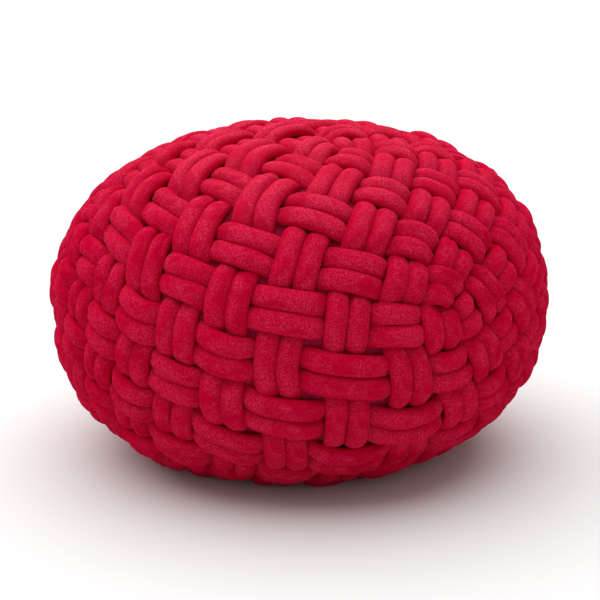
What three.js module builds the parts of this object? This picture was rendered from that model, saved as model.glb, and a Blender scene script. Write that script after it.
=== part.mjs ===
// A rope pouf: a soft, flattened ball whose whole outside is a plain weave of paired, stuffed ropes.
// Millimetres, +Z up, front towards -Y. The origin is the middle of the flat spot that it stands on.
import * as THREE from 'three';
import { mergeVertices } from 'three/addons/utils/BufferGeometryUtils.js';

// Size of the whole pouf, measured over the crests of the ropes
const DIAMETER = 500;
const CROWN_HEIGHT = 176; // from the widest line up to the top
const FOOT_HEIGHT = 157; // from the widest line down to the flat spot
const FULLNESS = 2.2; // exponent of the upright section: 2 is an ellipse, more is fuller

// The weave is drawn on a box of squares that is blown up to the ball.
// Two pairs of ropes cross in the middle of every side of every square.
const BOX_SQUARES = [4, 6, 5];

// Box corners and side points that are held in place, the first two also turn the whole box.
// Azimuth is to the right of the front and latitude is above the widest line, both in degrees.
const HELD_POINTS = [
  { box: [0, 0, 0], azimuth: 23, latitude: 69 },
  { box: [4, 0, 0], azimuth: 32, latitude: 14 },
  { box: [0, 6, 0], azimuth: -68, latitude: 20 },
  { box: [4, 6, 0], azimuth: -41, latitude: -43 },
  { box: [2, 3, 0], azimuth: -20, latitude: 14 },
  { box: [2, 4, 0], azimuth: -30, latitude: 3 },
  { box: [1, 4, 0], azimuth: -40, latitude: 21 },
  { box: [4, 1, 0], azimuth: 26, latitude: 2 },
  { box: [0, 4, 1], azimuth: -87, latitude: 55 },
  { box: [1, 6, 1], azimuth: -78, latitude: -7 },
  { box: [4, 2, 2], azimuth: 48, latitude: -36 },
  { box: [0, 0, 2], azimuth: 88, latitude: 65 },
  { box: [0, 0, 3], azimuth: 109, latitude: 57 },
  { box: [2, 0, 2], azimuth: 61, latitude: 35 },
];

// The other points settle between them as if every side and diagonal were a soft spring
const SETTLING_ROUNDS = 400;
const SIDE_STIFFNESS = 0.15;
const DIAGONAL_STIFFNESS = 0.075;

// Depth below the crests, in mm, over one crossing of two pairs.
// Rows go along the upper pair from its middle to where it dives, columns go across it.
const DEPTHS = [
  { along: 'middle', groove: 6, crest: 0, flank: 12 },
  { along: 'shoulder', groove: 8, crest: 3, flank: 14 },
  { along: 'dive', groove: 12, crest: 14, flank: 20 },
];
const PATCH_STEPS = 4; // strips across one crossing, each way

const RADIUS = DIAMETER / 2;
const MERGE_DISTANCE = 0.01;

// Point of the smooth ball, over the crests, in the direction of a point
function onBall(point) {
  const level = (Math.hypot(point.x, point.y) / RADIUS) ** FULLNESS;
  const height = Math.abs(point.z / CROWN_HEIGHT) ** FULLNESS;
  return point.clone().multiplyScalar((level + height) ** (-1 / FULLNESS));
}

// Outward normal of the smooth ball at one of its points
function ballNormal(point) {
  const level = Math.hypot(point.x, point.y);
  const across = level < 1e-6 ? 0 : (level / RADIUS) ** (FULLNESS - 1) / (RADIUS * level);
  const up = Math.sign(point.z) * Math.abs(point.z / CROWN_HEIGHT) ** (FULLNESS - 1) / CROWN_HEIGHT;
  return new THREE.Vector3(point.x * across, point.y * across, up).normalize();
}

function direction(azimuth, latitude) {
  const turn = THREE.MathUtils.degToRad(azimuth);
  const rise = THREE.MathUtils.degToRad(latitude);
  return new THREE.Vector3(
    Math.cos(rise) * Math.sin(turn),
    -Math.cos(rise) * Math.cos(turn),
    Math.sin(rise),
  );
}

function average(points) {
  const sum = new THREE.Vector3();
  points.forEach((point) => sum.add(point));
  return sum.divideScalar(points.length);
}

// Numbers of the box's surface points, and its squares with their corners counter-clockwise outside
function boxGrid() {
  const numbers = new Map();
  const places = [];
  const numberOf = (place) => {
    const key = place.join();
    if (!numbers.has(key)) {
      numbers.set(key, places.length);
      places.push(place);
    }
    return numbers.get(key);
  };
  const squares = [];
  for (let axis = 0; axis < 3; axis++) {
    const u = (axis + 1) % 3;
    const v = (axis + 2) % 3;
    for (const level of [0, BOX_SQUARES[axis]]) {
      for (let a = 0; a < BOX_SQUARES[u]; a++) {
        for (let b = 0; b < BOX_SQUARES[v]; b++) {
          const corners = [[a, b], [a + 1, b], [a + 1, b + 1], [a, b + 1]].map(([atU, atV]) => {
            const place = [0, 0, 0];
            place[axis] = level;
            place[u] = atU;
            place[v] = atV;
            return numberOf(place);
          });
          squares.push(level === 0 ? corners.reverse() : corners);
        }
      }
    }
  }
  return { numbers, places, squares };
}

// Every side of a square once, with its two ends and the squares to its left and right
function sidesOf(squares) {
  const leftSquare = new Map();
  squares.forEach((corners, square) => {
    corners.forEach((corner, n) => leftSquare.set(`${corner},${corners[(n + 1) % 4]}`, square));
  });
  const sides = [];
  leftSquare.forEach((left, key) => {
    const [from, to] = key.split(',').map(Number);
    if (from < to) {
      sides.push({ from, to, left, right: leftSquare.get(`${to},${from}`) });
    }
  });
  return sides;
}

// Right-handed axes: the first direction, the one beside it towards the second, and their normal
function axesThrough(first, second) {
  const x = first.clone().normalize();
  const z = x.clone().cross(second).normalize();
  return new THREE.Matrix4().makeBasis(x, z.clone().cross(x), z);
}

// The box points, turned to the held points and blown up to the ball
function blownUp(places) {
  const fromCentre = (place) =>
    new THREE.Vector3(...place.map((value, axis) => value - BOX_SQUARES[axis] / 2)).normalize();
  const [top, side] = HELD_POINTS;
  const target = axesThrough(
    direction(top.azimuth, top.latitude),
    direction(side.azimuth, side.latitude),
  );
  const turn = target.multiply(axesThrough(fromCentre(top.box), fromCentre(side.box)).invert());
  const flatten = new THREE.Vector3(RADIUS, RADIUS, CROWN_HEIGHT);
  return places.map((place) => onBall(fromCentre(place).applyMatrix4(turn).multiply(flatten)));
}

// Lets the points slide over the ball until the weave is even between the held points
function settle(points, sides, squares, held) {
  const springs = sides.map(({ from, to }) => ({ from, to, length: 1, stiffness: SIDE_STIFFNESS }));
  for (const [a, b, c, d] of squares) {
    springs.push({ from: a, to: c, length: Math.SQRT2, stiffness: DIAGONAL_STIFFNESS });
    springs.push({ from: b, to: d, length: Math.SQRT2, stiffness: DIAGONAL_STIFFNESS });
  }
  for (let round = 0; round < SETTLING_ROUNDS; round++) {
    const lengths = sides.map(({ from, to }) => points[from].distanceTo(points[to]));
    const even = lengths.reduce((sum, length) => sum + length, 0) / lengths.length;
    const moves = points.map(() => new THREE.Vector3());
    for (const { from, to, length, stiffness } of springs) {
      const pull = points[to].clone().sub(points[from]);
      pull.multiplyScalar(stiffness * (1 - even * length / pull.length()));
      moves[from].add(pull);
      moves[to].sub(pull);
    }
    points.forEach((point, n) => point.copy(held.get(n) ?? onBall(point.clone().add(moves[n]))));
  }
}

// Depth at a place on a crossing: along and across the upper pair, both from -0.5 to 0.5
function depthAt(along, across) {
  const row = DEPTHS[Math.round(Math.abs(along) * PATCH_STEPS)];
  return [row.groove, row.crest, row.flank][Math.round(Math.abs(across) * PATCH_STEPS)];
}

// One crossing as a patch between four gaps of the weave, which are named as seen from outside
// with the side of the square pointing north. The upper pair runs from south-east to north-west.
function crossingPatch(south, east, north, west) {
  const rows = [];
  for (let a = 0; a <= PATCH_STEPS; a++) {
    const start = south.clone().lerp(west, a / PATCH_STEPS);
    const end = east.clone().lerp(north, a / PATCH_STEPS);
    const row = [];
    for (let b = 0; b <= PATCH_STEPS; b++) {
      const crest = onBall(start.clone().lerp(end, b / PATCH_STEPS));
      const depth = depthAt(a / PATCH_STEPS - 0.5, b / PATCH_STEPS - 0.5);
      const point = crest.clone().addScaledVector(ballNormal(crest), -depth);
      point.z = Math.max(point.z, -FOOT_HEIGHT) + FOOT_HEIGHT;
      row.push(point);
    }
    rows.push(row);
  }
  return rows;
}

function weaveGeometry() {
  const { numbers, places, squares } = boxGrid();
  const sides = sidesOf(squares);
  const points = blownUp(places);
  const held = new Map(HELD_POINTS.map(({ box, azimuth, latitude }) => {
    const place = direction(azimuth, latitude).multiply(
      new THREE.Vector3(RADIUS, RADIUS, CROWN_HEIGHT));
    return [numbers.get(box.join()), onBall(place)];
  }));
  settle(points, sides, squares, held);
  const squareMiddles = squares.map((corners) => onBall(average(corners.map((n) => points[n]))));

  const positions = [];
  for (const { from, to, left, right } of sides) {
    const patch = crossingPatch(points[from], squareMiddles[right], points[to], squareMiddles[left]);
    for (let a = 0; a < PATCH_STEPS; a++) {
      for (let b = 0; b < PATCH_STEPS; b++) {
        const [p, q] = [patch[a][b], patch[a][b + 1]];
        const [r, s] = [patch[a + 1][b + 1], patch[a + 1][b]];
        [p, q, r, p, r, s].forEach((point) => positions.push(point.x, point.y, point.z));
      }
    }
  }
  const loose = new THREE.BufferGeometry();
  loose.setAttribute('position', new THREE.Float32BufferAttribute(positions, 3));
  return mergeVertices(loose, MERGE_DISTANCE);
}

function buildPouf() {
  const geometry = weaveGeometry();
  geometry.computeBoundingBox();
  const middle = geometry.boundingBox.getCenter(new THREE.Vector3());
  geometry.translate(-middle.x, -middle.y, 0);
  geometry.computeVertexNormals();
  const redJersey = new THREE.MeshStandardMaterial({ color: 0xc8173d, roughness: 0.95, metalness: 0 });
  const pouf = new THREE.Mesh(geometry, redJersey);
  pouf.name = 'pouf';
  return pouf;
}

const group = new THREE.Group();
group.add(buildPouf());

export default group;
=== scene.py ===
"""A rope pouf: pairs of soft stuffed ropes, woven over one and under one into a flattened ball."""
import math

import bpy
import numpy as np
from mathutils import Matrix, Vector
from mathutils.kdtree import KDTree


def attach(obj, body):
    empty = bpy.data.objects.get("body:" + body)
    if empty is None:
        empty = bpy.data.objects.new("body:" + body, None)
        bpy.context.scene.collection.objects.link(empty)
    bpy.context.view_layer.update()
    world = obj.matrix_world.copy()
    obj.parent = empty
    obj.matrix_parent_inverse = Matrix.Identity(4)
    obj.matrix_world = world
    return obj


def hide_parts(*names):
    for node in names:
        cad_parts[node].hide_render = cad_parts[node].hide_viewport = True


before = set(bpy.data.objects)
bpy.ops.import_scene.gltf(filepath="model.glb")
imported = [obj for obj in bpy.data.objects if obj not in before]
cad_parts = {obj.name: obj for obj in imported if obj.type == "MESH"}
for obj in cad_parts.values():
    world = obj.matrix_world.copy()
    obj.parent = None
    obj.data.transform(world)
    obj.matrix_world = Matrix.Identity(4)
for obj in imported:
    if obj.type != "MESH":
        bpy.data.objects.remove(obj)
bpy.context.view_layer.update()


# Camera
# It stands in front of the pouf and a little above its widest line, where the photo was taken from.
# The weave is laid after what it sees, so it comes first.
CAMERA_RISE = math.radians(15)
CAMERA_DISTANCE = 1.6  # from the middle of the ball
PHOTO_WIDTH = 600  # in pixels, like its height
FOCAL_PIXELS = 1571.0
BALL_PIXEL = (299.5, 294.3)  # where the photo has the middle of the ball
FOOT_HEIGHT = 0.153  # from the widest line of the ball down to the flat spot it stands on

forward = Vector((0, math.cos(CAMERA_RISE), -math.sin(CAMERA_RISE)))
lens = bpy.data.cameras.new("camera")
lens.sensor_width = 36.0
lens.lens = FOCAL_PIXELS / PHOTO_WIDTH * lens.sensor_width
lens.shift_x = (PHOTO_WIDTH / 2 - BALL_PIXEL[0]) / PHOTO_WIDTH
lens.shift_y = (BALL_PIXEL[1] - PHOTO_WIDTH / 2) / PHOTO_WIDTH
camera = bpy.data.objects.new("camera", lens)
camera.location = Vector((0, 0, FOOT_HEIGHT)) - forward * CAMERA_DISTANCE
camera.rotation_euler = forward.to_track_quat("-Z", "Y").to_euler()
bpy.context.scene.collection.objects.link(camera)
bpy.context.scene.camera = camera


# The weave
# The pouf's outside is one plain weave, laid by hand over a round bag: two pairs of ropes cross in
# the middle of every side of a box of squares that is blown up to the ball. At the eight corners of
# the box three pairs meet round a triangle, everywhere else four pairs meet round a small gap.
DIAMETER = 0.500
CROWN_HEIGHT = 0.175  # from the widest line up to the top, over the crests of the ropes
FULLNESS = 2.26  # exponent of the upright section, fuller than an ellipse
FULLNESS_BELOW = 2.35  # the same under the widest line, where the weight spreads it
LEAN = 0.015  # how far the soft ball sits higher to the right, of the way across
SEEN_DEPTH = 0.007  # below the crests of the ropes, where the line between two of them shows
BOX_SQUARES = (4, 6, 5)

# Box point, azimuth to the right of the front and latitude above the widest line, in degrees
HELD_POINTS = (
    ((0, 0, 0), 23, 69),
    ((4, 0, 0), 32, 14),
    ((0, 6, 0), -68, 20),
    ((4, 6, 0), -41, -43),
    ((2, 3, 0), -20, 14),
    ((2, 4, 0), -30, 3),
    ((1, 4, 0), -40, 21),
    ((4, 1, 0), 26, 2),
    ((0, 4, 1), -87, 55),
    ((1, 6, 1), -78, -7),
    ((4, 2, 2), 48, -36),
    ((0, 0, 2), 88, 65),
    ((0, 0, 3), 109, 57),
    ((2, 0, 2), 61, 35),
)

# Crossings read from the photo, in its pixels. The front face of the box stands on a corner, so its
# crossings lie in rows: the number of the first column, then the crossings from left to right.
SEEN_ROWS = (
    (-3, (287, 128), (300, 137), (318, 144), (352, 152), (391, 167), (436, 181), (474, 208)),
    (-4, (227, 133), (242, 141), (254, 148), (295, 161), (335, 180), (387, 189), (426, 210), (467, 232)),
    (-5, (177, 141), (182, 152), (200, 165), (227, 179), (261, 195), (315, 211), (369, 228), (413, 240),
     (455, 256)),
    (-6, (130, 160), (139, 165), (142, 184), (167, 209), (195, 230), (246, 246), (297, 260), (355, 270),
     (406, 282), (441, 286)),
    (-6, (95, 200), (104, 206), (126, 234), (144, 264), (185, 277), (227, 301), (285, 311), (347, 322),
     (393, 324), (443, 328)),
    (-6, (80, 240), (92, 257), (107, 281), (139, 320), (175, 330), (220, 355), (275, 366), (347, 377),
     (413, 378), (454, 370)),
    (-6, (70, 280), (79, 302), (104, 331), (131, 357), (173, 381), (221, 400), (283, 419), (347, 425),
     (407, 428), (460, 407)),
    (-5, (80, 340), (96, 364), (131, 400), (171, 419), (226, 449), (287, 461), (345, 466), (411, 460),
     (450, 437)),
    (-4, (105, 400), (130, 422), (180, 450)),
)

# The same for sides beyond the box's right and top edges: their two box points and the pixel
SEEN_BEYOND = (
    ((4, 0, 0), (4, 0, 1), (465, 315)),
    ((3, 0, 1), (4, 0, 1), (487, 293)),
    ((3, 0, 1), (3, 0, 2), (499, 270)),
    ((2, 0, 2), (3, 0, 2), (512, 244)),
    ((2, 0, 2), (2, 0, 3), (512, 220)),
    ((4, 0, 1), (4, 1, 1), (483, 351)),
    ((4, 0, 1), (4, 0, 2), (503, 333)),
    ((4, 0, 2), (3, 0, 2), (524, 307)),
    ((4, 1, 1), (4, 1, 2), (492, 389)),
    ((4, 0, 2), (4, 1, 2), (518, 358)),
    ((4, 1, 2), (4, 2, 2), (494, 412)),
    ((0, 0, 0), (0, 0, 1), (350, 143)),
    ((0, 0, 1), (0, 1, 1), (345, 131)),
    ((0, 0, 1), (1, 0, 1), (396, 147)),
    ((0, 0, 1), (0, 0, 2), (388, 138)),
    ((1, 0, 1), (1, 0, 2), (435, 164)),
    ((1, 0, 2), (0, 0, 2), (432, 146)),
    ((1, 0, 2), (2, 0, 2), (480, 187)),
    ((1, 0, 2), (1, 0, 3), (474, 171)),
    ((0, 0, 2), (0, 1, 2), (385, 128)),
    ((0, 0, 3), (1, 0, 3), (470, 155)),
)

# How far the grid's points give way in a round, of what pulls at them
EVENING = 0.15  # to the sides of the squares, as the grid is first laid; half of it to their diagonals
DRAWN_EVENING = 0.03  # the same, as it is drawn to the photo
MEMORY = 0.01  # back to where they were first laid, as it is drawn to the photo
TRUST = 0.3  # towards where the photo shows their crossings

TINY = 1e-9  # keeps a length that something is divided by above zero


def unit(vectors):
    return vectors / np.maximum(np.linalg.norm(vectors, axis=-1, keepdims=True), TINY)


def ball_level(points, inset=0.0):
    """1 on the ball that is smaller by inset all round, less inside it, more outside."""
    wide = DIAMETER / 2 - inset
    high = CROWN_HEIGHT - inset
    above = points[..., 2] - LEAN * points[..., 0]
    full = np.where(above < 0, FULLNESS_BELOW, FULLNESS)
    level = (np.hypot(points[..., 0], points[..., 1]) / wide) ** full
    return (level + np.abs(above / high) ** full) ** (1 / full)


def on_ball(points, inset=0.0):
    """Points pushed straight out to the ball, which is smaller by inset all round."""
    return points / ball_level(points, inset)[..., None]


def ball_normal(points):
    """Outward normal of the ball under points of its skin."""
    above = points[..., 2] - LEAN * points[..., 0]
    full = np.where(above < 0, FULLNESS_BELOW, FULLNESS)
    level = np.maximum(np.hypot(points[..., 0], points[..., 1]), TINY)
    across = (level / (DIAMETER / 2)) ** (full - 1) / (DIAMETER / 2) / level
    up = np.sign(above) * np.abs(above / CROWN_HEIGHT) ** (full - 1) / CROWN_HEIGHT
    return unit(np.stack([points[..., 0] * across - LEAN * up, points[..., 1] * across, up], axis=-1))


def direction(azimuth, latitude):
    """Unit vector to the right of the front and above the widest line, both in degrees."""
    turn, rise = math.radians(azimuth), math.radians(latitude)
    return np.array([math.cos(rise) * math.sin(turn), -math.cos(rise) * math.cos(turn), math.sin(rise)])


def box_grid():
    """The box's surface points, and its squares with their corners counter-clockwise from outside."""
    numbers, squares = {}, []
    for axis in range(3):
        u, v = (axis + 1) % 3, (axis + 2) % 3
        for level in (0, BOX_SQUARES[axis]):
            for a in range(BOX_SQUARES[u]):
                for b in range(BOX_SQUARES[v]):
                    corners = []
                    for at_u, at_v in ((a, b), (a + 1, b), (a + 1, b + 1), (a, b + 1)):
                        place = [0, 0, 0]
                        place[axis], place[u], place[v] = level, at_u, at_v
                        corners.append(numbers.setdefault(tuple(place), len(numbers)))
                    squares.append(corners[::-1] if level == 0 else corners)
    return numbers, squares


def axes_through(first, second):
    """Right-handed axes: the first direction, the one beside it towards the second, their normal."""
    x = unit(first)
    z = unit(np.cross(x, second))
    return np.stack([x, np.cross(z, x), z], axis=1)


def blown_up(numbers):
    """The box points, turned to the held points and blown up to the ball."""
    from_centre = unit(np.array(list(numbers)) - np.array(BOX_SQUARES) / 2)
    (top, *top_place), (side, *side_place) = HELD_POINTS[:2]
    turn = axes_through(direction(*top_place), direction(*side_place)) @ np.linalg.inv(
        axes_through(from_centre[numbers[top]], from_centre[numbers[side]]))
    return on_ball(from_centre @ turn.T * (DIAMETER / 2, DIAMETER / 2, CROWN_HEIGHT))


def folded(i, j):
    """Box point of a place on the front face, or past its edges on the faces behind them."""
    if i < 0:
        return 0, j, -i
    if j < 0:
        return i, 0, -j
    if i > BOX_SQUARES[0]:
        return BOX_SQUARES[0], j, i - BOX_SQUARES[0]
    if j > BOX_SQUARES[1]:
        return i, BOX_SQUARES[1], j - BOX_SQUARES[1]
    return i, j, 0


def seen_sides():
    """The sides whose crossings show in the photo, as pairs of box points, and their pixels."""
    ends, pixels = [], []
    for row, (first, *places) in enumerate(SEEN_ROWS):
        for column, pixel in enumerate(places, first):
            i, j = (column + row + 1) // 2, (row - column) // 2
            along_i = (column + row) % 2 == 0
            ends.append((folded(i, j), folded(i + 1, j) if along_i else folded(i, j + 1)))
            pixels.append(pixel)
    for start, end, pixel in SEEN_BEYOND:
        ends.append((start, end))
        pixels.append(pixel)
    return ends, np.array(pixels, float)


def seen_on_ball(pixels, steps=2001):
    """Where the photo's pixels lie on the ball; a pixel just outside it goes to its rim."""
    look = np.array(forward)
    up = np.array((0, math.sin(CAMERA_RISE), math.cos(CAMERA_RISE)))
    across = (pixels - BALL_PIXEL) / FOCAL_PIXELS
    rays = look + across[:, :1] * (1, 0, 0) - across[:, 1:] * up
    depths = np.linspace(-DIAMETER, DIAMETER, steps) + CAMERA_DISTANCE
    points = rays[:, None] * depths[:, None] - look * CAMERA_DISTANCE
    levels = ball_level(points, SEEN_DEPTH)
    hits = np.where((levels < 1).any(axis=1), (levels < 1).argmax(axis=1), levels.argmin(axis=1))
    return on_ball(points[np.arange(len(pixels)), hits])


def springs_of(squares, stiffness):
    """Sides and diagonals of the squares: their ends, lengths in sides, stiffness, count of sides."""
    corners = np.array(squares)
    sides = np.array(sorted({tuple(sorted((q[n], q[n - 1]))) for q in squares for n in range(4)}))
    diagonals = np.vstack([corners[:, [0, 2]], corners[:, [1, 3]]])
    counts = [len(sides), len(diagonals)]
    return (np.vstack([sides, diagonals]), np.repeat([1.0, math.sqrt(2)], counts),
            np.repeat([stiffness, stiffness / 2], counts), len(sides))


def spring_moves(points, springs):
    """How far soft springs move the grid's points towards an even weave."""
    ends, lengths, stiffness, sides = springs
    pull = points[ends[:, 1]] - points[ends[:, 0]]
    long = np.linalg.norm(pull, axis=1)
    pull *= (stiffness * (1 - long[:sides].mean() * lengths / long))[:, None]
    move = np.zeros_like(points)
    np.add.at(move, ends[:, 0], pull)
    np.add.at(move, ends[:, 1], -pull)
    return move


def settled_grid(numbers, squares, rounds=400):
    """The grid's points on the ball, evened out between the held points."""
    points = blown_up(numbers)
    springs = springs_of(squares, EVENING)
    held = [numbers[place] for place, *_ in HELD_POINTS]
    stretch = (DIAMETER / 2, DIAMETER / 2, CROWN_HEIGHT)
    held_at = np.array([on_ball(direction(*place) * stretch) for _, *place in HELD_POINTS])
    for _ in range(rounds):
        points = on_ball(points + spring_moves(points, springs))
        points[held] = held_at
    return points


def drawn_to_photo(points, numbers, squares, rounds=1500):
    """The grid drawn to the crossings that show in the photo, and how far each of them is still off."""
    ends, pixels = seen_sides()
    ends = np.array([(numbers[a], numbers[b]) for a, b in ends])
    seen = seen_on_ball(pixels)
    look = unit(seen + np.array(forward) * CAMERA_DISTANCE)
    normal = ball_normal(seen)
    facing = -(look * normal).sum(axis=1)[:, None]  # 1 where the skin faces the camera, 0 at its rim
    away = unit(look + normal * facing)

    def still_off():
        """From the grid's crossings to the seen ones, with little trust in how far away those are."""
        shift = seen - on_ball(points[ends].mean(axis=1))
        return shift - away * (shift * away).sum(axis=1)[:, None] * (1 - facing ** 2)

    springs = springs_of(squares, DRAWN_EVENING)
    home = points
    for _ in range(rounds):
        move = spring_moves(points, springs) + MEMORY * (home - points)
        pull = TRUST * still_off()
        np.add.at(move, ends[:, 0], pull)
        np.add.at(move, ends[:, 1], pull)
        points = on_ball(points + move)
    return points, {frozenset(side): shift for side, shift in zip(ends.tolist(), still_off())}


def woven_loops(squares):
    """Closed loops of the weave: each passes a row of sides and turns left and right by turns.

    A pass is the side's two ends, the square that the loop goes on into, and whether it is on top.
    """
    left, after, before = {}, {}, {}
    for number, corners in enumerate(squares):
        for n in range(4):
            a, b, c = corners[n - 2], corners[n - 1], corners[n]
            left[a, b] = number
            after[a, b] = (b, c)
            before[b, c] = (a, b)
    seen, loops = set(), []
    for start in sorted(left):
        passes = []
        (a, b), on_top = start, False
        while (a, b, on_top) not in seen:
            seen |= {(a, b, on_top), (b, a, on_top)}
            passes.append((a, b, left[a, b] if on_top else left[b, a], on_top))
            if on_top:
                a, b = after[a, b]
            else:
                b, a = before[b, a]
            on_top = not on_top
        if passes:
            loops.append(passes)
    return loops


numbers, squares = box_grid()
grid, nudges = drawn_to_photo(settled_grid(numbers, squares), numbers, squares)
square_middles = on_ball(grid[np.array(squares)].mean(axis=1))
loops = woven_loops(squares)


# Ropes
# Each rope is a long tube of heathered red jersey, stuffed firm and about 21 mm wide. Two lie side
# by side in every strand. They are woven by hand round the filled bag, press each other a little
# flat where they cross, and leave small dark gaps at the corners of the weave.
ROPE_WIDTH = 0.0208
FLATNESS = 0.71  # height of a rope, pressed flat by the weave, of its width
NESTLING = 0.93  # how near the two ropes of a pair come, of their width
ROOMY = 0.044  # room across a pair from which its two ropes spread apart
SPREAD = 1.14  # the most that they spread, of how near they come
CROWDED = 0.52  # width of a rope, of the room across it, where that is less than its full width
NARROWEST = 0.80  # width that a crowded rope keeps, of its full width
SQUEEZED = 0.80  # width of a rope under a crossing, of its full width
FULL_FROM = 0.2  # height from which a rope has its full width, of its rise
RISE = 0.0078  # of the upper ropes above the middle of the weave, and of the lower ones below it
STEEPNESS = 2.1  # how squarely a rope dives: 0 is a plain wave
BULGE = 0.4  # how much of the rise is a soft bulge all along a rope
HIDDEN = 0.020  # length of rope from where it dives to the middle of the crossing that it goes under
SAMPLES = 8  # points along a rope from one crossing to the next
CREST_DEPTH = 0.0010  # of the crests of the upper ropes below the ball
SKIN_DEPTH = RISE + ROPE_WIDTH * FLATNESS / 2 + CREST_DEPTH  # of the middle of the weave
STRAIGHTNESS = 0.5  # of a pair where it is hidden under another, between the crossings beside it
LUMPINESS = 0.0022  # the most that a crossing lies above or below the even ball
LUMPINESS_SEED = 11
SHADE_SEED = 7
LONG_LOOP = 60  # crossings from which a loop is a piece of its own
SHORT_BATCHES = 3  # pieces that hold the short loops


def strand_marks(passes):
    """Where the pair of one loop crosses the others, and where it is halfway between two crossings."""
    ends = np.array([(a, b) for a, b, _, _ in passes])
    shift = np.array([nudges.get(frozenset((a, b)), (0, 0, 0)) for a, b, _, _ in passes])
    crossings = on_ball(grid[ends].mean(axis=1) + shift)
    before, after = np.roll(crossings, 1, axis=0), np.roll(crossings, -1, axis=0)
    across = unit(np.cross(ball_normal(crossings), after - before))
    bend = ((before + after) / 2 - crossings) * across
    hidden = np.array([not on_top for *_, on_top in passes])[:, None]
    shift = shift + across * bend.sum(axis=1)[:, None] * hidden * STRAIGHTNESS
    onto = np.array([(grid[b] + square_middles[square]) / 2 for _, b, square, _ in passes])
    marks = np.empty((2 * len(passes), 3))
    marks[0::2] = on_ball(grid[ends].mean(axis=1) + shift)
    marks[1::2] = on_ball(onto + (shift + np.roll(shift, -1, axis=0)) / 2)
    return marks


def room_at_crossings():
    """For every crossing, how far the upper and the lower pair run to their next crossings."""
    rooms = {}
    for passes in loops:
        crossings = strand_marks(passes)[0::2]
        ahead = np.linalg.norm(np.roll(crossings, -1, axis=0) - crossings, axis=1)
        for (a, b, _, on_top), room in zip(passes, (ahead + np.roll(ahead, 1)) / 2):
            rooms.setdefault(frozenset((a, b)), {})[on_top] = room
    return rooms


def lifts_of_crossings():
    """How far every crossing lies above or below the even ball, as laid by hand."""
    tops = [frozenset((a, b)) for passes in loops for a, b, _, on_top in passes if on_top]
    uneven = np.random.default_rng(LUMPINESS_SEED).uniform(-LUMPINESS, LUMPINESS, len(tops))
    return dict(zip(tops, uneven))


def smooth_line(marks, steps):
    """A closed smooth line through the marks, with that many steps from one mark to the next."""
    mark, way = np.divmod(np.arange(len(marks) * steps) / steps, 1)
    mark = mark.astype(int)
    way = way[:, None]
    p0, p1, p2, p3 = (marks[(mark + n) % len(marks)] for n in (-1, 0, 1, 2))
    return 0.5 * (2 * p1 + (p2 - p0) * way + (2 * p0 - 5 * p1 + 4 * p2 - p3) * way ** 2
                  + (3 * p1 - p0 - 3 * p2 + p3) * way ** 3)


def laid_pair(passes):
    """Middle lines and widths of the two ropes of one loop, as woven, before they settle."""
    marks = strand_marks(passes)
    middle = on_ball(smooth_line(marks, SAMPLES // 2))
    normal = ball_normal(middle)
    along = unit(np.roll(middle, -1, axis=0) - np.roll(middle, 1, axis=0))
    beside = unit(np.cross(normal, along))

    # A wave over one crossing and under the next, which dives close beside the one above it
    crossings = marks[0::2]
    ahead = np.linalg.norm(np.roll(crossings, -1, axis=0) - crossings, axis=1)
    dive = np.maximum(1 - HIDDEN / ahead, 0.5)  # where it dives, of the way from above to below
    bias = math.log(0.5) / np.log(dive)
    last, way = np.divmod(np.arange(len(passes) * SAMPLES) / SAMPLES, 1)
    last = last.astype(int)
    from_top = np.array([on_top for *_, on_top in passes])[last]
    way_down = np.where(from_top, way, 1 - way)
    wave = np.cos(np.pi * way_down ** bias[last])

    def between_crossings(values):
        return values[last] * (1 - way) + np.roll(values, -1)[last] * way

    # Of two pairs that cross, the one with the longer way to its next crossings bends more
    own = np.array([rooms[frozenset((a, b))][on_top] for a, b, _, on_top in passes])
    other = np.array([rooms[frozenset((a, b))][not on_top] for a, b, _, on_top in passes])
    rise = 2 * RISE * between_crossings(own ** 2 / (own ** 2 + other ** 2))
    square_wave = np.tanh(STEEPNESS * wave) / math.tanh(STEEPNESS)
    height = rise * (square_wave * (1 - BULGE) + wave * BULGE) - SKIN_DEPTH
    height += between_crossings(np.array([lifts[frozenset((a, b))] for a, b, _, _ in passes]))

    # Narrower under a crossing and where the weave is tight, and spread apart where it is wide
    width = ROPE_WIDTH * (SQUEEZED + (1 - SQUEEZED) * np.clip((wave + 1) / (1 + FULL_FROM), 0, 1))
    width *= between_crossings(np.clip(CROWDED * other / ROPE_WIDTH, NARROWEST, 1))
    spread = between_crossings(np.clip(other / ROOMY, 1, SPREAD))
    apart = beside * (width * spread * NESTLING / 2)[:, None]
    return [(middle + normal * height[:, None] + apart * side, width) for side in (-1, 1)]


# How the ropes settle against each other
PRESSING = 0.72  # how near ropes that are no pair come, of their width
FELT = 1.3  # distance within which ropes are looked at for touching, of their width
OWN_STRETCH = 6  # points along a rope that never press on each other
SIDE_BY_SIDE = 4  # points along a pair in which its two ropes lie beside each other
FRESH_LOOK = 30  # rounds after which touching ropes are looked for again
PUSH = 0.2  # part of an overlap by which each rope gives way in a round
GIVE = 0.94  # part of its shift that a rope keeps in a round
PROUD = 0.006  # of the ball's skin that a rope may stand
PRESSED_FOOT = 0.58  # height of a rope that the pouf stands on, of its width


def touching(points, owner, place, length, reach):
    """Pairs of points of different stretches of rope that lie within reach."""
    tree = KDTree(len(points))
    for n, point in enumerate(points):
        tree.insert(point, n)
    tree.balance()
    pairs = []
    for n, point in enumerate(points):
        for _, other, _ in tree.find_range(point, reach):
            if other > n:
                apart = abs(place[n] - place[other])
                if owner[n] != owner[other] or min(apart, length[n] - apart) > OWN_STRETCH:
                    pairs.append((n, other))
    return np.array(pairs)


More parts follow.
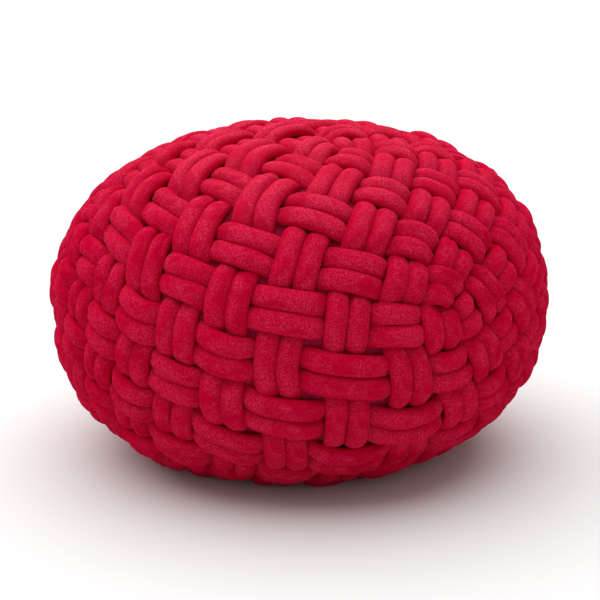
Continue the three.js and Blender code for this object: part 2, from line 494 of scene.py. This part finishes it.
def settled_ropes(laid_ropes, rounds=120):
    """The ropes after they have pushed each other apart, within the ball and above the floor."""
    laid = np.vstack([rope for rope, _ in laid_ropes])
    width = np.concatenate([width for _, width in laid_ropes])
    owner = np.repeat(np.arange(len(laid_ropes)), [len(rope) for rope, _ in laid_ropes])
    place = np.concatenate([np.arange(len(rope)) for rope, _ in laid_ropes])
    length = np.bincount(owner)[owner]
    first = np.arange(len(laid)) - place
    ahead = first + (place + 1) % length
    behind = first + (place - 1) % length
    lowest = width * PRESSED_FOOT / 2 - FOOT_HEIGHT
    outermost = ROPE_WIDTH * FLATNESS / 2 - PROUD

    def smoothed(values):
        return values / 2 + (values[ahead] + values[behind]) / 4

    points = laid
    for turn in range(rounds):
        if turn % FRESH_LOOK == 0:
            pairs = touching(points, owner, place, length, ROPE_WIDTH * FELT)
            mates = owner[pairs[:, 0]] // 2 == owner[pairs[:, 1]] // 2
            near = np.abs(place[pairs[:, 0]] - place[pairs[:, 1]]) < SIDE_BY_SIDE
            closeness = np.where(mates & near, NESTLING, PRESSING)
            reach = (width[pairs[:, 0]] + width[pairs[:, 1]]) * closeness / 2
        between = points[pairs[:, 1]] - points[pairs[:, 0]]
        far = np.linalg.norm(between, axis=1)
        press = np.clip(reach - far, 0, None) * PUSH
        push = between * (press / np.maximum(far, TINY))[:, None]
        moved = points - laid
        np.add.at(moved, pairs[:, 0], -push)
        np.add.at(moved, pairs[:, 1], push)
        points = laid + GIVE * smoothed(smoothed(moved))
        outside = ball_level(points, outermost) > 1
        points[outside] = (points[outside] + on_ball(points[outside], outermost)) / 2
        points[:, 2] = np.maximum(points[:, 2], lowest)
    points = smoothed(points)
    return [(points[owner == n], width[owner == n]) for n in range(len(laid_ropes))]


def rope_paths(name, members):
    """A mesh of closed lines along the ropes, with the way out of the ball and a shade per rope."""
    verts, edges, outward, shade, widths = [], [], [], [], []
    for number in members:
        rope, width = ropes[number]
        first = len(verts)
        count = len(rope)
        verts += [tuple(p) for p in rope + (0, 0, FOOT_HEIGHT)]
        edges += [(first + n, first + (n + 1) % count) for n in range(count)]
        outward += [tuple(n) for n in ball_normal(on_ball(rope))]
        shade += [shade_of_rope[number]] * count
        widths += list(width / ROPE_WIDTH)
    mesh = bpy.data.meshes.new(name)
    mesh.from_pydata(verts, edges, [])
    mesh.attributes.new("outward", "FLOAT_VECTOR", "POINT").data.foreach_set("vector", np.ravel(outward))
    mesh.attributes.new("shade", "FLOAT", "POINT").data.foreach_set("value", shade)
    mesh.attributes.new("width", "FLOAT", "POINT").data.foreach_set("value", widths)
    path = bpy.data.objects.new(name, mesh)
    bpy.context.scene.collection.objects.link(path)
    return path


# Colours of the jersey, in linear light
DYED = (0.39, 0.0002, 0.020)
DYED_LIGHTER = (0.47, 0.0003, 0.026)  # as the lightest rope took the dye
PAINTED_CREASE_LIGHT = (0.53, 0.0003, 0.020)  # painted light: a lighter red on a rope's sides, down to its neighbours, that lifts the shade in the creases
WORN = (0.48, 0.0012, 0.030)  # in patches along the crest
PAINTED_TOP_SHEEN = (0.60, 0.016, 0.052)  # painted sheen and light: a paler red on the crests at the top of the pouf
FLECKS = (0.60, 0.034, 0.082)
# The flecks where the painted sheen lies, paler still
FLECKS_PAINTED_SHEEN = (0.76, 0.080, 0.140)

PAINTED_SHEEN_HEIGHTS = (0.25, 0.335)  # heights above the floor where the painted sheen begins and where it is strongest
PAINTED_SHEEN_STRENGTH = 0.7  # how strong the painted sheen is there
LEAST_FLECKED = 0.1  # cover of flecks between the worn patches
MOST_FLECKED = 0.7  # how much more of them the most worn places have
CREASE_RELIEF = 1.6  # in millimetres, before the strength of the relief
FLECK_RELIEF = 0.35  # the same for the flecks


def jersey_material():
    """Heathered red jersey: fine pale flecks in patches along its crest, and soft long creases."""
    material = bpy.data.materials.new("heathered_red_jersey")
    material.use_nodes = True
    nodes, links = material.node_tree.nodes, material.node_tree.links
    shader = nodes["Principled BSDF"]
    shader.inputs["Roughness"].default_value = 0.9
    shader.inputs["Sheen Weight"].default_value = 0.12
    shader.inputs["Sheen Roughness"].default_value = 0.20
    shader.inputs["Sheen Tint"].default_value = (1.0, 0.30, 0.50, 1.0)
    shader.inputs["Specular IOR Level"].default_value = 0.0

    def attribute(name):
        node = nodes.new("ShaderNodeAttribute")
        node.attribute_name = name
        return node.outputs

    def noise(along, around, detail=2.0):
        scale = nodes.new("ShaderNodeMapping")
        scale.inputs["Scale"].default_value = (along, around, around)
        links.new(place, scale.inputs["Vector"])
        node = nodes.new("ShaderNodeTexNoise")
        node.inputs["Scale"].default_value = 1.0
        node.inputs["Detail"].default_value = detail
        node.inputs["Roughness"].default_value = 0.6
        links.new(scale.outputs["Vector"], node.inputs["Vector"])
        return node.outputs["Fac"]

    def ranged(value, low, high):
        node = nodes.new("ShaderNodeMapRange")
        node.inputs["From Min"].default_value = low
        node.inputs["From Max"].default_value = high
        links.new(value, node.inputs["Value"])
        return node.outputs["Result"]

    def maths(operation, *values):
        node = nodes.new("ShaderNodeMath")
        node.operation = operation
        for socket, value in zip(node.inputs, values):
            if hasattr(value, "links"):
                links.new(value, socket)
            else:
                socket.default_value = value
        return node.outputs["Value"]

    def mixed(factor, a, b):
        node = nodes.new("ShaderNodeMix")
        node.data_type = "RGBA"
        links.new(factor, node.inputs["Factor"])
        for socket, colour in ((node.inputs["A"], a), (node.inputs["B"], b)):
            if isinstance(colour, tuple):
                socket.default_value = (*colour, 1.0)
            else:
                links.new(colour, socket)
        return node.outputs["Result"]

    place = attribute("rope_place")["Vector"]
    crest = attribute("crest")["Fac"]
    flecks = noise(along=1000, around=520)
    patches = ranged(noise(along=45, around=60, detail=3.0), 0.36, 0.58)
    shown = maths("MULTIPLY", patches, ranged(crest, 0.0, 0.9))
    dyed_and_painted_light = mixed(attribute("shade")["Fac"], DYED, DYED_LIGHTER)
    # A rope's sides, down into the creases between ropes, are painted a lighter red: painted light that
    # lifts the shade there.
    dyed_and_painted_light = mixed(ranged(crest, -0.1, 0.75), PAINTED_CREASE_LIGHT, dyed_and_painted_light)
    worn_and_painted_light = mixed(shown, dyed_and_painted_light, WORN)
    above_floor = nodes.new("ShaderNodeSeparateXYZ")
    links.new(nodes.new("ShaderNodeTexCoord").outputs["Object"], above_floor.inputs["Vector"])
    # Paler on the crests near the top: painted sheen and light, as it falls from above.
    painted_sheen = maths("MULTIPLY", ranged(above_floor.outputs["Z"], *PAINTED_SHEEN_HEIGHTS), ranged(crest, 0.3, 1.0))
    worn_and_painted_light = mixed(maths("MULTIPLY", painted_sheen, PAINTED_SHEEN_STRENGTH), worn_and_painted_light, PAINTED_TOP_SHEEN)
    cover = maths("ADD", maths("MULTIPLY", shown, MOST_FLECKED), LEAST_FLECKED)
    fibre = maths("MULTIPLY", cover, ranged(flecks, 0.46, 0.64))
    links.new(mixed(fibre, worn_and_painted_light, mixed(painted_sheen, FLECKS, FLECKS_PAINTED_SHEEN)), shader.inputs["Base Color"])
    creased = ranged(noise(along=30, around=30, detail=0.0), 0.5, 0.7)
    creases = maths("MULTIPLY", noise(along=22, around=300, detail=1.0), creased)
    relief = maths("MULTIPLY_ADD", creases, CREASE_RELIEF, maths("MULTIPLY", flecks, FLECK_RELIEF))
    bump = nodes.new("ShaderNodeBump")
    bump.inputs["Strength"].default_value = 0.6
    bump.inputs["Distance"].default_value = 0.001
    links.new(relief, bump.inputs["Height"])
    links.new(bump.outputs["Normal"], shader.inputs["Normal"])
    return material


def stuffed_rope_tree(material):
    """Geometry Nodes that sweep a stuffed rope along every closed line of a mesh."""
    tree = bpy.data.node_groups.new("stuffed_rope", "GeometryNodeTree")
    face = tree.interface
    face.new_socket("Geometry", in_out="INPUT", socket_type="NodeSocketGeometry")
    for name, kind, value in (
        ("Width", "NodeSocketFloat", ROPE_WIDTH),
        ("Flatness", "NodeSocketFloat", FLATNESS),
        ("Sides", "NodeSocketInt", 20),
        ("Rings per step", "NodeSocketInt", 2),
        ("Lump depth", "NodeSocketFloat", 0.0012),
        ("Lumps per metre", "NodeSocketFloat", 32.0),
        ("Fold depth", "NodeSocketFloat", 0.0016),
        ("Fold width", "NodeSocketFloat", 0.07),
        ("Folds along", "NodeSocketFloat", 11.0),
        ("Folds around", "NodeSocketFloat", 95.0),
        ("Folded from", "NodeSocketFloat", 0.45),
        ("Folded most from", "NodeSocketFloat", 0.575),
        ("Seed", "NodeSocketFloat", 3.0),
        ("Seeds between shades", "NodeSocketFloat", 50.0),
    ):
        face.new_socket(name, in_out="INPUT", socket_type=kind).default_value = value
    face.new_socket("Geometry", in_out="OUTPUT", socket_type="NodeSocketGeometry")
    links = tree.links

    def add(kind, feeds=(), **settings):
        node = tree.nodes.new(kind)
        for name, value in settings.items():
            setattr(node, name, value)
        for socket, source in dict(feeds).items():
            if hasattr(source, "links"):
                links.new(source, node.inputs[socket])
            else:
                node.inputs[socket].default_value = source
        return node

    def maths(operation, *values):
        return add("ShaderNodeMath", enumerate(values), operation=operation).outputs[0]

    def vector_maths(operation, *values):
        return add("ShaderNodeVectorMath", enumerate(values), operation=operation)

    def stored(name, kind):
        return add("GeometryNodeInputNamedAttribute", {"Name": name}, data_type=kind).outputs["Attribute"]

    def store(geometry, name, kind, value):
        node = add("GeometryNodeStoreNamedAttribute", {"Geometry": geometry, "Name": name}, data_type=kind)
        links.new(value, next(s for s in node.inputs if s.name == "Value" and s.enabled))
        return node.outputs[0]

    def captured(geometry, value):
        node = add("GeometryNodeCaptureAttribute", {"Geometry": geometry})
        node.capture_items.new("FLOAT", "Value")
        links.new(value, node.inputs[1])
        return node.outputs[0], node.outputs[1]

    # A smooth line, turned so that its normal is the way out of the ball
    inputs = add("NodeGroupInput").outputs
    line = add("GeometryNodeMeshToCurve", {"Mesh": inputs["Geometry"]}).outputs[0]
    line = add("GeometryNodeCurveSplineType", {"Curve": line}, spline_type="CATMULL_ROM").outputs[0]
    line = add("GeometryNodeSetSplineResolution",
               {"Geometry": line, "Resolution": inputs["Rings per step"]}).outputs[0]
    outward = stored("outward", "FLOAT_VECTOR")
    line = add("GeometryNodeSetCurveNormal", {"Curve": line, "Normal": outward}, mode="FREE").outputs[0]
    line, along = captured(line, add("GeometryNodeSplineParameter").outputs["Length"])

    # A ring swept along it, as wide as the rope is there
    radius = maths("MULTIPLY", inputs["Width"], 0.5)
    ring = add("GeometryNodeCurvePrimitiveCircle",
               {"Resolution": inputs["Sides"], "Radius": radius}).outputs[0]
    ring, turn = captured(ring, add("GeometryNodeSplineParameter").outputs["Factor"])
    rope = add("GeometryNodeCurveToMesh", {
        "Curve": line, "Profile Curve": ring, "Scale": stored("width", "FLOAT")}).outputs[0]

    # Where a point is along and round its rope, and 1 on the rope's crest to -1 on its underside
    angle = maths("MULTIPLY", turn, 2 * math.pi)
    place = add("ShaderNodeCombineXYZ", {
        "X": along,
        "Y": maths("MULTIPLY", maths("COSINE", angle), radius),
        "Z": maths("MULTIPLY", maths("SINE", angle), radius),
    }).outputs[0]
    rope = store(rope, "rope_place", "FLOAT_VECTOR", place)
    normal = add("GeometryNodeInputNormal").outputs[0]
    rope = store(rope, "crest", "FLOAT", vector_maths("DOT_PRODUCT", normal, outward).outputs["Value"])

    # Soft lumps, and long folds in stretches of it, other ones on every rope
    place = stored("rope_place", "FLOAT_VECTOR")
    own_seed = maths("MULTIPLY", stored("shade", "FLOAT"), inputs["Seeds between shades"])
    own_seed = maths("ADD", inputs["Seed"], own_seed)

    def noise(vector, scale, detail):
        feeds = {"Vector": vector, "W": own_seed, "Scale": scale, "Detail": detail}
        return add("ShaderNodeTexNoise", feeds, noise_dimensions="4D").outputs[0]

    lumps = noise(place, inputs["Lumps per metre"], 1.0)
    swell = maths("MULTIPLY", maths("MULTIPLY_ADD", lumps, 2.0, -1.0), inputs["Lump depth"])
    stretch = add("ShaderNodeCombineXYZ", {
        "X": inputs["Folds along"], "Y": inputs["Folds around"], "Z": inputs["Folds around"]}).outputs[0]
    long_place = vector_maths("MULTIPLY", place, stretch).outputs[0]
    off_fold = maths("ABSOLUTE", maths("SUBTRACT", noise(long_place, 1.0, 0.0), 0.5))
    fold = maths("MAXIMUM", maths("SUBTRACT", 1.0, maths("DIVIDE", off_fold, inputs["Fold width"])), 0.0)
    folded_here = add("ShaderNodeMapRange", {
        "Value": noise(place, inputs["Folds along"], 0.0),
        "From Min": inputs["Folded from"],
        "From Max": inputs["Folded most from"],
    }).outputs[0]
    fold = maths("MULTIPLY", maths("MULTIPLY", fold, folded_here), inputs["Fold depth"])
    swell = maths("SUBTRACT", swell, fold)

    # Pressed flat by the weave, and on the floor
    squash = maths("MULTIPLY", maths("SUBTRACT", inputs["Flatness"], 1.0), stored("crest", "FLOAT"))
    squash = maths("MULTIPLY", squash, maths("MULTIPLY", radius, stored("width", "FLOAT")))
    pressed_in = vector_maths("SCALE", outward)
    links.new(squash, pressed_in.inputs["Scale"])
    offset = vector_maths("SCALE", normal)
    links.new(swell, offset.inputs["Scale"])
    offset = vector_maths("ADD", offset.outputs[0], pressed_in.outputs[0])
    rope = add("GeometryNodeSetPosition", {"Geometry": rope, "Offset": offset.outputs[0]}).outputs[0]
    here = add("ShaderNodeSeparateXYZ", {0: add("GeometryNodeInputPosition").outputs[0]}).outputs
    pressed = add("ShaderNodeCombineXYZ", {"X": here[0], "Y": here[1], "Z": maths("MAXIMUM", here[2], 0.0)})
    rope = add("GeometryNodeSetPosition", {"Geometry": rope, "Position": pressed.outputs[0]}).outputs[0]

    rope = add("GeometryNodeSetShadeSmooth", {"Geometry": rope}).outputs[0]
    rope = add("GeometryNodeRealizeInstances", {"Geometry": rope}).outputs[0]
    rope = add("GeometryNodeSetMaterial", {"Geometry": rope, "Material": material}).outputs[0]
    add("NodeGroupOutput", {"Geometry": rope})
    return tree


def rope_piece(name, members):
    """One piece of several ropes, swept by the tree and turned into a plain mesh."""
    path = rope_paths(name + "_path", members)
    sweep = path.modifiers.new("stuffed_rope", "NODES")
    sweep.node_group = stuffed_rope
    made = path.evaluated_get(bpy.context.evaluated_depsgraph_get())
    mesh = bpy.data.meshes.new_from_object(made)
    mesh.name = name
    bpy.data.objects.remove(path)
    piece = bpy.data.objects.new(name, mesh)
    bpy.context.scene.collection.objects.link(piece)
    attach(piece, "root")
    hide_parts("pouf")


rooms = room_at_crossings()
lifts = lifts_of_crossings()
ropes = settled_ropes([rope for passes in loops for rope in laid_pair(passes)])
shade_of_rope = np.random.default_rng(SHADE_SEED).random(len(ropes))
stuffed_rope = stuffed_rope_tree(jersey_material())
long_loops = [n for n, passes in enumerate(loops) if len(passes) >= LONG_LOOP]
short_loops = [n for n, passes in enumerate(loops) if len(passes) < LONG_LOOP]
batches = [[n] for n in long_loops] + [short_loops[n::SHORT_BATCHES] for n in range(SHORT_BATCHES)]
for number, batch in enumerate(batches, 1):
    rope_piece(f"woven_ropes_{number}", [2 * n + side for n in batch for side in (0, 1)])


# Bag
# The filling is held in a round bag of dark red net cloth, which only shows deep in the gaps between
# the ropes. It is flat where the pouf stands.
BAG_DEPTH = 0.0150  # of the bag's skin below the crests of the ropes
BAG_FOOT = ROPE_WIDTH * 0.9  # height above the floor of its flat underside, which lies on ropes
NET_HOLES = 420.0  # of the net cloth, in a metre
NET_IN_HOLES = (0.20, 0.001, 0.020)
NET_THREAD = (0.38, 0.006, 0.044)


def bag_mesh(rows=48, columns=96):
    """A closed skin round the filling, with a fan of triangles at its foot and at its crown."""
    verts, faces = [], []
    for row in range(1, rows):
        rise = math.pi * (row / rows - 0.5)
        for column in range(columns):
            turn = 2 * math.pi * column / columns
            verts.append((math.cos(rise) * math.cos(turn), math.cos(rise) * math.sin(turn), math.sin(rise)))
    verts += [(0, 0, -1), (0, 0, 1)]
    for row in range(rows - 2):
        for column in range(columns):
            a, b = row * columns + column, row * columns + (column + 1) % columns
            faces.append((a, b, b + columns, a + columns))
    foot, crown = len(verts) - 2, len(verts) - 1
    last = (rows - 2) * columns
    for column in range(columns):
        following = (column + 1) % columns
        faces.append((foot, following, column))
        faces.append((crown, last + column, last + following))
    points = on_ball(np.array(verts) * (DIAMETER / 2, DIAMETER / 2, CROWN_HEIGHT), BAG_DEPTH)
    points[:, 2] = np.maximum(points[:, 2] + FOOT_HEIGHT, BAG_FOOT)
    mesh = bpy.data.meshes.new("filled_bag")
    mesh.from_pydata([tuple(p) for p in points], [], faces)
    mesh.shade_smooth()
    return mesh


def net_cloth_material():
    """Fine dark red net, darkest in the middle of its holes."""
    material = bpy.data.materials.new("dark_net_cloth")
    material.use_nodes = True
    nodes, links = material.node_tree.nodes, material.node_tree.links
    shader = nodes["Principled BSDF"]
    shader.inputs["Roughness"].default_value = 0.95
    shader.inputs["Specular IOR Level"].default_value = 0.1
    place = nodes.new("ShaderNodeTexCoord")
    holes = nodes.new("ShaderNodeTexVoronoi")
    holes.inputs["Scale"].default_value = NET_HOLES
    links.new(place.outputs["Object"], holes.inputs["Vector"])
    ramp = nodes.new("ShaderNodeValToRGB")
    ramp.color_ramp.elements[0].color = (*NET_IN_HOLES, 1)
    ramp.color_ramp.elements[1].color = (*NET_THREAD, 1)
    links.new(holes.outputs["Distance"], ramp.inputs["Fac"])
    links.new(ramp.outputs["Color"], shader.inputs["Base Color"])
    return material


bag = bpy.data.objects.new("filled_bag", bag_mesh())
bag.data.materials.append(net_cloth_material())
bpy.context.scene.collection.objects.link(bag)
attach(bag, "root")
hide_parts("pouf")


# Studio
# A plain pale floor, a wide soft light from above, a little behind and left, and even weak light
# all round.
FLOOR_REACH = 30.0
FLOOR_GREY = 0.74
SKY = 0.465  # strength of the light from all round
BACKDROP = 1.0  # how bright the world looks where the camera sees it directly, as a white backdrop behind the floor's edge in low views
SOFT_LIGHT = 3.5  # strength of the wide light
SOFT_LIGHT_WIDTH = math.radians(100)
SOFT_LIGHT_FROM = (-0.20, 0.30, 1.0)

floor_corners = [(x * FLOOR_REACH, y * FLOOR_REACH, 0) for x, y in ((-1, -1), (1, -1), (1, 1), (-1, 1))]
floor_mesh = bpy.data.meshes.new("floor")
floor_mesh.from_pydata(floor_corners, [], [(0, 1, 2, 3)])
floor_paint = bpy.data.materials.new("pale_floor")
floor_paint.use_nodes = True
floor_shader = floor_paint.node_tree.nodes["Principled BSDF"]
floor_shader.inputs["Base Color"].default_value = (FLOOR_GREY, FLOOR_GREY, FLOOR_GREY, 1)
floor_shader.inputs["Roughness"].default_value = 0.95
floor_shader.inputs["Specular IOR Level"].default_value = 0.1
floor_mesh.materials.append(floor_paint)
floor = bpy.data.objects.new("floor", floor_mesh)
bpy.context.scene.collection.objects.link(floor)

world = bpy.data.worlds.new("studio")
world.use_nodes = True
world_nodes = world.node_tree.nodes
world_nodes["Background"].inputs["Color"].default_value = (1, 1, 1, 1)
brightness = world_nodes.new("ShaderNodeMath")
brightness.operation = "MULTIPLY_ADD"
brightness.inputs[1].default_value = BACKDROP - SKY
brightness.inputs[2].default_value = SKY
seen_directly = world_nodes.new("ShaderNodeLightPath").outputs["Is Camera Ray"]
world.node_tree.links.new(seen_directly, brightness.inputs[0])
world.node_tree.links.new(brightness.outputs["Value"], world_nodes["Background"].inputs["Strength"])
bpy.context.scene.world = world

lamp = bpy.data.lights.new("soft_light", "SUN")
lamp.energy = SOFT_LIGHT
lamp.angle = SOFT_LIGHT_WIDTH
light = bpy.data.objects.new("soft_light", lamp)
light.rotation_euler = Vector(SOFT_LIGHT_FROM).to_track_quat("Z", "Y").to_euler()
bpy.context.scene.collection.objects.link(light)
bpy.context.scene.view_settings.view_transform = "Standard"
